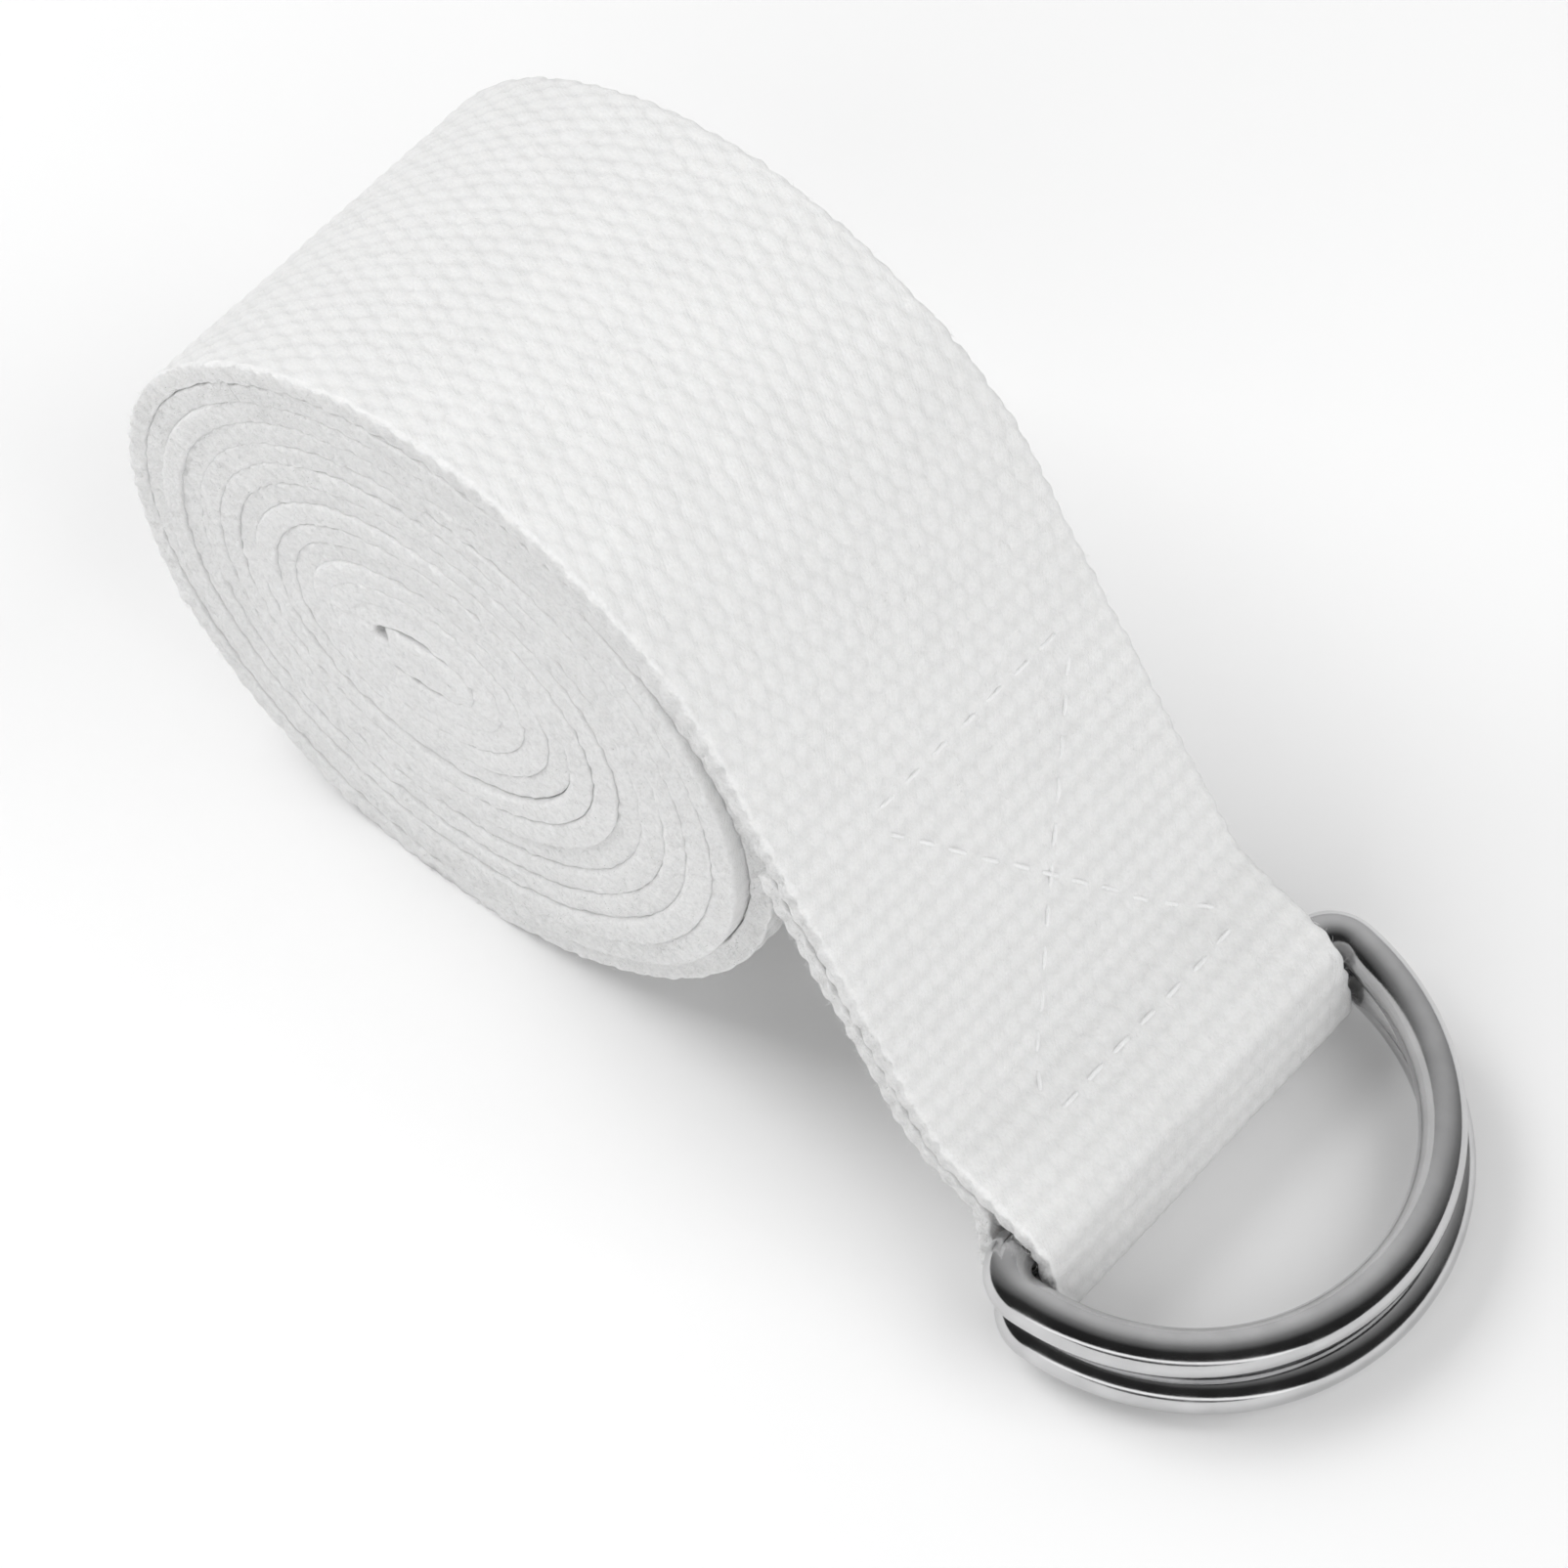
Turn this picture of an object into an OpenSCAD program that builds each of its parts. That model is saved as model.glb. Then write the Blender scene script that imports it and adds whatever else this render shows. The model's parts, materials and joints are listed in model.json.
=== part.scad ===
// Cotton stretching strap, rolled up for storage, with a double D-ring buckle.
// The free end is wound into an oval roll. The other end leaves the roll as a
// straight tail, folds around the bars of two D-rings and is sewn back on itself.
// X runs along the tail, Y across the webbing, and Z is up. The roll and the
// ring end stand on Z = 0, and the origin is the centre of that footprint.

/* [Webbing] */
// Width of the webbing
web_w = 38; // [25:1:50]
// Thickness of the webbing
web_t = 1.85; // [1.5:0.05:1.9]

/* [Roll] */
// Number of turns, from the flat core to the place where the tail leaves
turns = 12.443; // [12.43:0.001:12.45]
// Half length of the flat core
core_a = 6.2; // [6.1:0.1:6.6]
// Half height of the flat core
core_b = 3.4; // [3.3:0.1:3.6]
// Growth of the half length for each turn
grow_a = 2.26; // [2.24:0.01:2.4]
// Growth of the half height for each turn
grow_b = 2.2; // [2.18:0.01:2.3]
// Shift of the centre towards the tail for each turn
drift_x = 0.18; // [0:0.01:0.18]
// Sink of the centre for each turn
drift_z = 0.17; // [0:0.01:0.17]
// Lean of the oval
lean = 7; // [0:1:10]
// Depth of the flat that the roll's own weight presses at its foot
foot_sink = 0.2; // [0.1:0.05:0.3]

/* [Hem at the core] */
// Length of the hem's cut layer
hem_len = 6.5; // [4:0.5:6.5]
// Gap between the two layers of the hem
hem_gap = 0.3; // [0.1:0.1:0.4]
// Distance of the hem's fold from the middle of the core
hem_fold = 3.4; // [3:0.1:3.6]
// Distance of the hem below the middle of the core
hem_drop = 0.7; // [0.6:0.1:0.8]

/* [Ring end] */
// Straight length of the tail
tail_len = 34.6; // [34:0.2:35]
// Radius of the bend where the tail levels out towards the rings
flare_r = 6; // [5:0.5:9]
// Slope of the webbing as it meets the upper bar
flare_drop = 20; // [19:1:22]
// Distance of the lap's end from the start of the tail
lap_top = 8; // [7.8:0.1:9]
// Gap between the tail and its lap
lap_gap = 0.1; // [0.05:0.05:0.2]
// Play of the bars in the loop
loop_play = 0.1; // [0.05:0.01:0.2]
// Slope of the slack layer behind the bars
slack_drop = 80; // [76:1:84]
// Radius of the slack layer's bend on the ground
slack_bend = 2.5; // [2:0.1:3]

/* [D-rings] */
// Diameter of the ring wire
wire_d = 4; // [3:0.1:4.2]
// Radius of the D's round side, to the middle of the wire
ring_r = 21.6; // [21.6:0.1:24]
// Distance from the bar to the tip, between wire middles
ring_depth = 23; // [22:0.5:26]
// Radius of the D's two corners, to the middle of the wire
ring_corner = 2.8; // [2.6:0.1:3]
// Height of the upper bar above the lower one
bar_rise = 4.45; // [4.4:0.05:4.8]
// Setback of the upper bar towards the roll
bar_setback = 1.4; // [1:0.1:1.6]

/* [Stitching] */
// Thickness of the sewing thread
thread_d = 0.5; // [0.3:0.05:0.6]
// Distance from one stitch to the next
stitch_pitch = 3.2; // [2.5:0.1:4]
// Length of the thread that shows in each stitch
stitch_len = 2.5; // [1.5:0.1:2.8]
// Distance of the upper cross row from the start of the tail
seam_top = 8.8; // [8.4:0.2:12]
// Distance of the lower cross row from the start of the tail
seam_foot = 40.8; // [40:0.1:41.2]
// Near end of the cross rows, from the middle of the webbing
seam_near = -9.4; // [-14:0.2:-6]
// Far end of the cross rows, from the middle of the webbing
seam_far = 13.8; // [8:0.2:15]

/* [Hidden] */
cotton = "whitesmoke";
steel = "silver";
thread = "white";
round_fn = 64;
thread_fn = 16;

wire_r = wire_d / 2;
half_t = web_t / 2;
fold_r = wire_r + loop_play + half_t;
layer_gap = web_t + lap_gap;
arc_step = 10;

function unit(v) = v / norm(v);
function left_of(v) = [-v.y, v.x];
function angle_of(v) = atan2(v.y, v.x);
function polar(a) = [cos(a), sin(a)];
function turned(p, a) = [p.x * cos(a) - p.y * sin(a), p.x * sin(a) + p.y * cos(a)];

// Points of an arc, both ends included.
function arc(centre, radius, from, to) =
    let (steps = ceil(abs(to - from) / arc_step))
    [for (i = [0:steps]) centre + radius * polar(from + (to - from) * i / steps)];

// Roll: the middle line of the webbing, n turns out from the core.
steps_per_turn = 40;
function wound(n) =
    turned([(core_a + grow_a * n) * cos(180 - 360 * n),
            (core_b + grow_b * n) * sin(180 - 360 * n)], lean)
    + n * [drift_x, -drift_z];
roll_steps = round(turns * steps_per_turn);
winding = [for (i = [0:roll_steps]) wound(i * turns / roll_steps)];

// Hem: the free end is folded once inside the core, and then joins the first turn.
hem_r = (web_t + hem_gap) / 2;
hem_join = hem_r + hem_drop;
hem = concat(
    [[hem_fold - hem_len, hem_r - hem_drop]],
    arc([hem_fold, -hem_drop], hem_r, 90, -90),
    arc([hem_join - core_a, 0], hem_join, -90, -170));

// Closed outline of a strip of webbing along a path, with mitred corners.
function mitre(path, i) =
    let (last = len(path) - 1,
        before = unit(path[max(i, 1)] - path[max(i, 1) - 1]),
        after = unit(path[min(i, last - 1) + 1] - path[min(i, last - 1)]))
    (left_of(before) + left_of(after)) / (1 + before * after);
function face(path, depth) =
    [for (i = [0:len(path) - 1]) path[i] + mitre(path, i) * depth];
function reversed(list) = [for (i = [len(list) - 1:-1:0]) list[i]];
function strip(path) = concat(face(path, half_t), reversed(face(path, -half_t)));

// Where the whole strap stands: the roll's foot on the ground, the tail's start above it.
roll_face = face(winding, half_t);
roll_lift = -min([for (p = roll_face) p.y]) - foot_sink;
roll_left = min([for (p = roll_face) p.x]);
tail_dir = unit(winding[roll_steps] - winding[roll_steps - 1]);
tail_slope = angle_of(tail_dir);
raw_start = winding[roll_steps] + [0, roll_lift];

// The tail levels out over the upper bar, at the height where the lower ring lies on the ground.
lower_z = half_t + fold_r;
upper_z = lower_z + bar_rise;
flare_dir = polar(-flare_drop);
raw_flare = raw_start + tail_dir * tail_len + left_of(tail_dir) * flare_r;
raw_level = raw_flare - left_of(flare_dir) * flare_r;
flare_run = (raw_level.y - fold_r * cos(flare_drop) - upper_z) / sin(flare_drop);
raw_upper = raw_level + flare_run * flare_dir - fold_r * left_of(flare_dir);
ring_dip = asin((lower_z - wire_r) / ring_depth);
raw_tip = raw_upper.x + bar_setback + ring_depth * cos(ring_dip) + wire_r;
centre_x = (roll_left + raw_tip) / 2;
shift = [-centre_x, roll_lift];

tail_start = raw_start - [centre_x, 0];
flare_mid = raw_flare - [centre_x, 0];
level = raw_level - [centre_x, 0];
upper_bar = raw_upper - [centre_x, 0];
lower_bar = upper_bar + [bar_setback, -bar_rise];
tail_path = concat([tail_start],
    arc(flare_mid, flare_r, tail_slope - 90, -flare_drop - 90),
    [level + flare_run * flare_dir]);

// The lap runs back under the tail, from a tight fold just past the seam.
seam_margin = 0.6;
lap_fold_r = 1.5;
bend_len = flare_r * (-flare_drop - tail_slope) * PI / 180;
lap_run = seam_foot + seam_margin - tail_len - bend_len;
lap_foot = level + lap_run * flare_dir - layer_gap * left_of(flare_dir);
lap_fold_mid = lap_foot - lap_fold_r * left_of(flare_dir);
slack_top = lap_fold_mid + lap_fold_r * polar(90 - slack_drop);
slack_low = half_t + slack_bend * (1 - cos(slack_drop));
slack_run = (slack_top.y - slack_low) / sin(slack_drop);
slack_mid = [slack_top.x + slack_run * cos(slack_drop) + slack_bend * sin(slack_drop),
    half_t + slack_bend];
lap_bend_r = flare_r + layer_gap;
lap_end = tail_start + tail_dir * lap_top - left_of(tail_dir) * layer_gap;

fold_front = angle_of(upper_bar - lower_bar) - 90;
ring_end_path = concat(
    [for (i = [0:len(tail_path) - 2]) tail_path[i]],
    arc(upper_bar, fold_r, 90 - flare_drop, fold_front),
    arc(lower_bar, fold_r, fold_front, -90),
    arc(slack_mid, slack_bend, -90, -90 - slack_drop),
    arc(lap_fold_mid, lap_fold_r, 90 - slack_drop, 90 - flare_drop),
    arc(flare_mid, lap_bend_r, -flare_drop - 90, tail_slope - 90),
    [lap_end]);
roll_path = concat([for (p = hem) turned(p, lean) + shift], [for (p = winding) p + shift]);

module cloth(path) {
    rotate([90, 0, 0])
        linear_extrude(height = web_w, center = true)
            polygon(strip(path));
}

// The foot of the roll is pressed flat on the ground.
module rolled_webbing() {
    ground = 2 * (foot_sink + web_t);
    color(cotton)
        difference() {
            cloth(roll_path);
            translate([-centre_x, 0, -ground / 2])
                cube([2 * core_a + 4 * grow_a * turns, 2 * web_w, ground], center = true);
        }
}

module ring_end_webbing() {
    color(cotton) cloth(ring_end_path);
}

// D-ring: the bar lies on the local Y axis and the round side is towards +X.
round_centre = ring_depth - ring_r;
corner_y = sqrt(pow(ring_r - ring_corner, 2) - pow(ring_corner - round_centre, 2));
corner_tilt = atan((ring_corner - round_centre) / corner_y);

module corner_wire() {
    translate([ring_corner, corner_y, 0])
        rotate([0, 0, 90 - corner_tilt])
            rotate_extrude(angle = 90 + corner_tilt, $fn = round_fn)
                translate([ring_corner, 0])
                    circle(r = wire_r, $fn = round_fn);
}

// The round side is a full ring of wire, cut by a wedge that opens towards +X.
module round_wire() {
    reach = 2 * ring_r;
    far = reach * polar(90 - corner_tilt);
    intersection() {
        rotate_extrude($fn = round_fn)
            translate([ring_r, 0])
                circle(r = wire_r, $fn = round_fn);
        linear_extrude(height = 2 * wire_d, center = true)
            polygon([[0, 0], [far.x, -far.y], [reach, -far.y], [reach, far.y], far]);
    }
}

module d_ring() {
    rotate([90, 0, 0])
        cylinder(r = wire_r, h = 2 * corner_y, center = true, $fn = round_fn);
    for (side = [0, 1])
        mirror([0, side, 0])
            corner_wire();
    translate([round_centre, 0, 0])
        round_wire();
}

module ring_at(bar) {
    translate([bar.x, 0, bar.y])
        rotate([0, ring_dip, 0])
            d_ring();
}

module upper_d_ring() {
    color(steel) ring_at(upper_bar);
}

module lower_d_ring() {
    color(steel) ring_at(lower_bar);
}

// One stitch: half a thread, flat on the cloth, along the local X axis.
module stitch() {
    intersection() {
        rotate([0, 90, 0])
            cylinder(d = thread_d, h = stitch_len, center = true, $fn = thread_fn);
        translate([-stitch_len / 2, -thread_d / 2, 0])
            cube([stitch_len, thread_d, thread_d / 2]);
    }
}

// Point at a distance s along a path.
function along(path, s, i = 0) =
    let (step = path[i + 1] - path[i])
    i == len(path) - 2 || s <= norm(step)
        ? path[i] + unit(step) * s
        : along(path, s - norm(step), i + 1);

// A row of stitches on the face of a path, from one [distance, y] to another. Each stitch
// spans the face from reach before its middle to reach after it.
module stitch_row(path, from, to, reach) {
    count = floor(norm(to - from) / stitch_pitch);
    for (i = [0:count - 1]) {
        at = from + (to - from) * (i + 0.5) / count;
        start = along(path, at.x - reach);
        end = along(path, at.x + reach);
        translate([(start.x + end.x) / 2, at.y, (start.y + end.y) / 2])
            rotate([0, -angle_of(end - start), 0])
                rotate([0, 0, angle_of(to - from)])
                    children();
    }
}

// Reach of a stitch that touches a rounded face at its middle only.
midpoint = 0.01;

// The seam of the ring end: two cross rows joined by two diagonals, which stop short of them.
diagonal_inset = 1.6;
module box_seam(path, reach) {
    inset = [diagonal_inset, 0];
    near_top = [seam_top, seam_near];
    far_top = [seam_top, seam_far];
    near_foot = [seam_foot, seam_near];
    far_foot = [seam_foot, seam_far];
    stitch_row(path, near_top, far_top, reach) children();
    stitch_row(path, near_foot, far_foot, reach) children();
    stitch_row(path, near_top + inset, far_foot - inset, reach) children();
    stitch_row(path, far_top + inset, near_foot - inset, reach) children();
}

module box_stitch_needle_thread() {
    color(thread)
        box_seam(face(tail_path, half_t), stitch_len / 2)
            stitch();
}

module box_stitch_bobbin_thread() {
    color(thread)
        box_seam(face(tail_path, -half_t - layer_gap), midpoint)
            mirror([0, 0, 1])
                stitch();
}

// The hem's single cross row, on the outer faces of its two layers.
hem_margin = 3;
module hem_row() {
    count = floor((web_w - 2 * hem_margin) / stitch_pitch);
    for (i = [0:count - 1])
        translate([0, (i - (count - 1) / 2) * stitch_pitch, hem_r + half_t])
            rotate([0, 0, 90])
                stitch();
}

module in_hem() {
    mid = turned([0, -hem_drop], lean) + shift;
    translate([mid.x, 0, mid.y])
        rotate([0, -lean, 0])
            children();
}

module hem_stitch_needle_thread() {
    color(thread) in_hem() hem_row();
}

module hem_stitch_bobbin_thread() {
    color(thread) in_hem() mirror([0, 0, 1]) hem_row();
}

rolled_webbing();
ring_end_webbing();
upper_d_ring();
lower_d_ring();
box_stitch_needle_thread();
box_stitch_bobbin_thread();
hem_stitch_needle_thread();
hem_stitch_bobbin_thread();
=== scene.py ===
import bpy
import json
import math
import numpy as np
from mathutils import Vector, Matrix


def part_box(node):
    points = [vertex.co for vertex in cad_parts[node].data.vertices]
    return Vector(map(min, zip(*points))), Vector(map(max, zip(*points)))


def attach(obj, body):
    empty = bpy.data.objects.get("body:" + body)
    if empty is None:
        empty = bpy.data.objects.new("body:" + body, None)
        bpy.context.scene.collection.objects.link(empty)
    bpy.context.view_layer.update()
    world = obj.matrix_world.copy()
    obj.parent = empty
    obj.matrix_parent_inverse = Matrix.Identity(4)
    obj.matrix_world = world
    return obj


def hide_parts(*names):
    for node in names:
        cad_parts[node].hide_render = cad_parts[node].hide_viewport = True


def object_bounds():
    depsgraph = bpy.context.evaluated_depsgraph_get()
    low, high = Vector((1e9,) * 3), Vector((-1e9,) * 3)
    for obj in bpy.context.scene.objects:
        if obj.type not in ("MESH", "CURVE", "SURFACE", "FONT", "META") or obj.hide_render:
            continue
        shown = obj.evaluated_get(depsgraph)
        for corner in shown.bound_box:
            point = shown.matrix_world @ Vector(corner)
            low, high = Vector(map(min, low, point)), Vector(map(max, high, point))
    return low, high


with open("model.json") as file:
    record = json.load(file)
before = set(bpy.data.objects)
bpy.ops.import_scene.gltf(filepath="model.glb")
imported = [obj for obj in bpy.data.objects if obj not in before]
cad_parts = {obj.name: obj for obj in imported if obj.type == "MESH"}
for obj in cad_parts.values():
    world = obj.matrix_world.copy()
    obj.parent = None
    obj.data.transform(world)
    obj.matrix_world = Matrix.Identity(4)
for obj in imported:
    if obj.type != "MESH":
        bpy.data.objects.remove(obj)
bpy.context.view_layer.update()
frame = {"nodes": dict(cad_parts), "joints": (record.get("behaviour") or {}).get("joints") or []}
scene = bpy.context.scene
rng = np.random.default_rng(7)
MM = 0.001
joints = {j["name"]: j for j in frame["joints"]}

# ---------------------------------------------------------------- camera, in metres and degrees
VIEW_AZIMUTH, VIEW_ELEVATION, VIEW_ROLL = 39.42, 57.64, 1.22
VIEW_DISTANCE = 0.4974
LENS, SENSOR = 140.93, 36
NEAREST, FARTHEST = 0.02, 20
# the camera aims beside the middle of the strap's box, and low on the roll
AIM_SHIFT_X, AIM_SHIFT_Y, AIM_HEIGHT = -0.0042, -0.0023, 0.01848


def add_camera():
    low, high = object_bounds()
    aim = Vector(((low[0] + high[0]) / 2 + AIM_SHIFT_X, (low[1] + high[1]) / 2 + AIM_SHIFT_Y, AIM_HEIGHT))
    azimuth, elevation, roll = map(math.radians, (VIEW_AZIMUTH, VIEW_ELEVATION, VIEW_ROLL))
    away = Vector((math.sin(azimuth) * math.cos(elevation),
                   -math.cos(azimuth) * math.cos(elevation),
                   math.sin(elevation)))
    level = Vector((math.cos(azimuth), math.sin(azimuth), 0))
    upright = away.cross(level)
    right = math.cos(roll) * level + math.sin(roll) * upright
    up = -math.sin(roll) * level + math.cos(roll) * upright
    camera = bpy.data.objects.new("camera", bpy.data.cameras.new("camera"))
    scene.collection.objects.link(camera)
    camera.data.lens = LENS
    camera.data.sensor_width = SENSOR
    camera.data.clip_start = NEAREST
    camera.data.clip_end = FARTHEST
    pose = Matrix((right, up, away)).transposed().to_4x4()
    pose.translation = aim + away * VIEW_DISTANCE
    camera.matrix_world = pose
    scene.camera = camera


add_camera()

# ---------------------------------------------------------------- light, in metres and watts
LIGHT_AIM = (0, 0, 0.02)
# the key rakes over the top of the roll, and the wide side light fills the sloping tail
LIGHTS = {
    "key_light": {"place": (-0.66, -0.2, 0.68), "size": (0.6, 0.6), "power": 6.2},
    "fill_light": {"place": (0.35, -0.8, 0.55), "size": (1.2, 0.8), "power": 3.45},
    "side_light": {"place": (0.8, 0.2, 0.65), "size": (1.2, 1.4), "power": 8.5},
}


def area_light(name, place, size, power):
    """A soft lamp aimed at the strap. The steel doesn't mirror it, only the sky."""
    lamp = bpy.data.lights.new(name, "AREA")
    lamp.shape = "RECTANGLE"
    lamp.size, lamp.size_y = size
    lamp.energy = power
    ob = bpy.data.objects.new(name, lamp)
    scene.collection.objects.link(ob)
    ob.visible_glossy = False
    ob.location = place
    ob.rotation_euler = (Vector(LIGHT_AIM) - Vector(place)).to_track_quat("-Z", "Y").to_euler()


for light_name, light in LIGHTS.items():
    area_light(light_name, **light)

# The sky is brightest low behind the object and dim in front, with one bright strip near the front
# horizon: the steel shows it as a grey top, a dark outer band and a thin light line.
SKY_AZIMUTH, SKY_ELEVATION = 39.4, 30
# place on the way from the front (0) to the bright side (1), and the grey there
SKY_BANDS = ((0.11, 0.04), (0.14, 1.5), (0.18, 1.5), (0.21, 0.02), (0.52, 0.03), (0.76, 0.26), (1.0, 0.68))


def fill_ramp(ramp, stops):
    """Set a colour ramp's stops from (place, colour) pairs."""
    while len(ramp.elements) < len(stops):
        ramp.elements.new(0.5)
    for element, (place, colour) in zip(ramp.elements, stops):
        element.position = place
        element.color = (*colour, 1)


def grey(level):
    return (level, level, level)


def add_sky():
    world = bpy.data.worlds.new("world")
    scene.world = world
    world.use_nodes = True
    tree = world.node_tree
    azimuth, elevation = math.radians(SKY_AZIMUTH), math.radians(SKY_ELEVATION)
    ray = tree.nodes.new("ShaderNodeTexCoord")
    facing = tree.nodes.new("ShaderNodeVectorMath")
    facing.operation = "DOT_PRODUCT"
    facing.inputs[1].default_value = (-math.sin(azimuth) * math.cos(elevation),
                                      math.cos(azimuth) * math.cos(elevation),
                                      math.sin(elevation))
    tree.links.new(ray.outputs["Generated"], facing.inputs[0])
    spread = tree.nodes.new("ShaderNodeMapRange")
    spread.inputs["From Min"].default_value = -1
    tree.links.new(facing.outputs["Value"], spread.inputs["Value"])
    fade = tree.nodes.new("ShaderNodeValToRGB")
    fill_ramp(fade.color_ramp, [(place, grey(level)) for place, level in SKY_BANDS])
    tree.links.new(spread.outputs["Result"], fade.inputs["Fac"])
    tree.links.new(fade.outputs["Color"], tree.nodes["Background"].inputs["Color"])
    tree.nodes["Background"].inputs["Strength"].default_value = 1.0
    scene.view_settings.view_transform = "Standard"


add_sky()

# ---------------------------------------------------------------- materials
# sockets of a Mix node that mixes colours
MIX_BASE, MIX_TINT, MIX_RESULT = 6, 7, 2


class Graph:
    """A new material's nodes. A value that is fed in is a number, a colour or another node's output."""

    def __init__(self, name):
        self.material = bpy.data.materials.new(name)
        self.material.use_nodes = True
        self.tree = self.material.node_tree
        self.shader = self.tree.nodes["Principled BSDF"].inputs

    def feed(self, socket, value):
        if isinstance(value, bpy.types.NodeSocket):
            self.tree.links.new(value, socket)
        else:
            socket.default_value = value

    def node(self, kind, inputs=None, **settings):
        made = self.tree.nodes.new(kind)
        for key, value in settings.items():
            setattr(made, key, value)
        for key, value in (inputs or {}).items():
            self.feed(made.inputs[key], value)
        return made

    def noise(self, where, scale, detail, roughness=0.5):
        wanted = {"Vector": where, "Scale": scale, "Detail": detail, "Roughness": roughness}
        return self.node("ShaderNodeTexNoise", wanted).outputs["Fac"]

    def ramp(self, value, stops):
        made = self.node("ShaderNodeValToRGB", {"Fac": value})
        fill_ramp(made.color_ramp, stops)
        return made.outputs["Color"]

    def spread(self, value, low, high, start=0.0, end=1.0):
        wanted = {"Value": value, "From Min": start, "From Max": end, "To Min": low, "To Max": high}
        return self.node("ShaderNodeMapRange", wanted).outputs["Result"]

    def multiply(self, base, tint, share):
        wanted = {"Factor": share, MIX_BASE: base, MIX_TINT: tint}
        made = self.node("ShaderNodeMix", wanted, data_type="RGBA", blend_type="MULTIPLY")
        return made.outputs[MIX_RESULT]

    def bump(self, height, strength, distance):
        wanted = {"Height": height, "Strength": strength, "Distance": distance}
        self.feed(self.shader["Normal"], self.node("ShaderNodeBump", wanted).outputs["Normal"])

    def mesh_value(self, name):
        return self.node("ShaderNodeAttribute", attribute_name=name).outputs["Fac"]


def cotton_material(name, base, sheen):
    """Soft spun cotton. The strip coordinates are millimetres along and across the webbing."""
    g = Graph(name)
    strip = g.node("ShaderNodeUVMap", uv_map="strip").outputs["UV"]
    where = g.node("ShaderNodeTexCoord").outputs["Object"]
    # height: slanting twist of the yarn, its fibres, and lint
    slanted = g.node("ShaderNodeMapping", {"Vector": strip, "Rotation": (0, 0, math.radians(28))})
    slanted = slanted.outputs["Vector"]
    bands = {"Vector": slanted, "Scale": 1.05, "Distortion": 2.2, "Detail": 3, "Detail Scale": 1.6}
    twist = g.node("ShaderNodeTexWave", bands, wave_type="BANDS", bands_direction="Y").outputs["Color"]
    drawn_out = g.node("ShaderNodeMapping", {"Vector": strip, "Scale": (1.2, 4.5, 1)})
    fibre = g.noise(drawn_out.outputs["Vector"], scale=2.4, detail=8, roughness=0.7)
    lint = g.noise(where, scale=2300, detail=5, roughness=0.65)
    twist_share = 0.15
    yarn = g.node("ShaderNodeMath", {0: twist, 1: twist_share, 2: fibre}, operation="MULTIPLY_ADD")
    height = g.node("ShaderNodeMath", {0: yarn.outputs[0], 1: lint}, operation="ADD")
    g.bump(height.outputs[0], strength=0.7, distance=0.00018)
    # colour: faint blotches, fibres, fine specks of painted fibre highlight and shade, and painted shade in
    # the weave's hollows
    darker, plain, lighter = (tuple(c * k for c in base) for k in (0.975, 1.0, 1.015))
    blotches = g.noise(where, scale=140, detail=5, roughness=0.6)
    colour = g.ramp(blotches, [(0.3, darker), (0.5, plain), (0.75, lighter)])
    strands = g.ramp(fibre, [(0.25, (0.9, 0.9, 0.895)), (0.6, grey(1))])
    colour = g.multiply(colour, strands, share=0.7)
    # painted fibre highlight and shade: fine specks darken the cotton between lighter fibres
    speck_highlight_shade = g.ramp(lint, [(0.34, grey(0.84)), (0.5, grey(0.96)), (0.64, grey(1))])
    colour = g.multiply(colour, speck_highlight_shade, share=g.mesh_value("speck_paint_share"))
    # painted shade: the weave's hollows are darkened by up to a tenth
    colour = g.multiply(colour, (*grey(0.9), 1), share=g.mesh_value("pit_shade"))
    g.feed(g.shader["Base Color"], colour)
    g.feed(g.shader["Roughness"], g.spread(lint, low=0.82, high=0.98))
    g.feed(g.shader["Sheen Weight"], sheen)
    g.feed(g.shader["Sheen Roughness"], 0.5)
    g.feed(g.shader["Specular IOR Level"], 0.25)
    g.feed(g.shader["Subsurface Weight"], 0.12)
    g.feed(g.shader["Subsurface Radius"], (0.9, 0.85, 0.8))
    g.feed(g.shader["Subsurface Scale"], 0.0012)
    return g.material


def steel_material(name):
    """Plated wire with cloudy polish and a fine grain."""
    g = Graph(name)
    where = g.node("ShaderNodeTexCoord").outputs["Object"]
    clouds = g.noise(where, scale=260, detail=4)
    g.feed(g.shader["Base Color"], g.ramp(clouds, [(0.3, (0.55, 0.55, 0.555)), (0.7, (0.66, 0.66, 0.665))]))
    g.feed(g.shader["Roughness"], g.spread(clouds, low=0.1, high=0.2, start=0.35, end=0.7))
    g.bump(g.noise(where, scale=5200, detail=3, roughness=0.6), strength=0.06, distance=0.00005)
    g.feed(g.shader["Metallic"], 1.0)
    return g.material


def floor_material(name):
    g = Graph(name)
    where = g.node("ShaderNodeTexCoord").outputs["Object"]
    tone = g.ramp(g.noise(where, scale=6, detail=3), [(0.3, grey(0.87)), (0.7, grey(0.89))])
    g.feed(g.shader["Base Color"], tone)
    g.feed(g.shader["Roughness"], 0.7)
    g.feed(g.shader["Specular IOR Level"], 0.2)
    return g.material


cotton = cotton_material("cotton_webbing", base=(0.9, 0.9, 0.898), sheen=0.25)
thread = cotton_material("sewing_thread", base=grey(0.97), sheen=0.1)
steel = steel_material("plated_steel")

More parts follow.
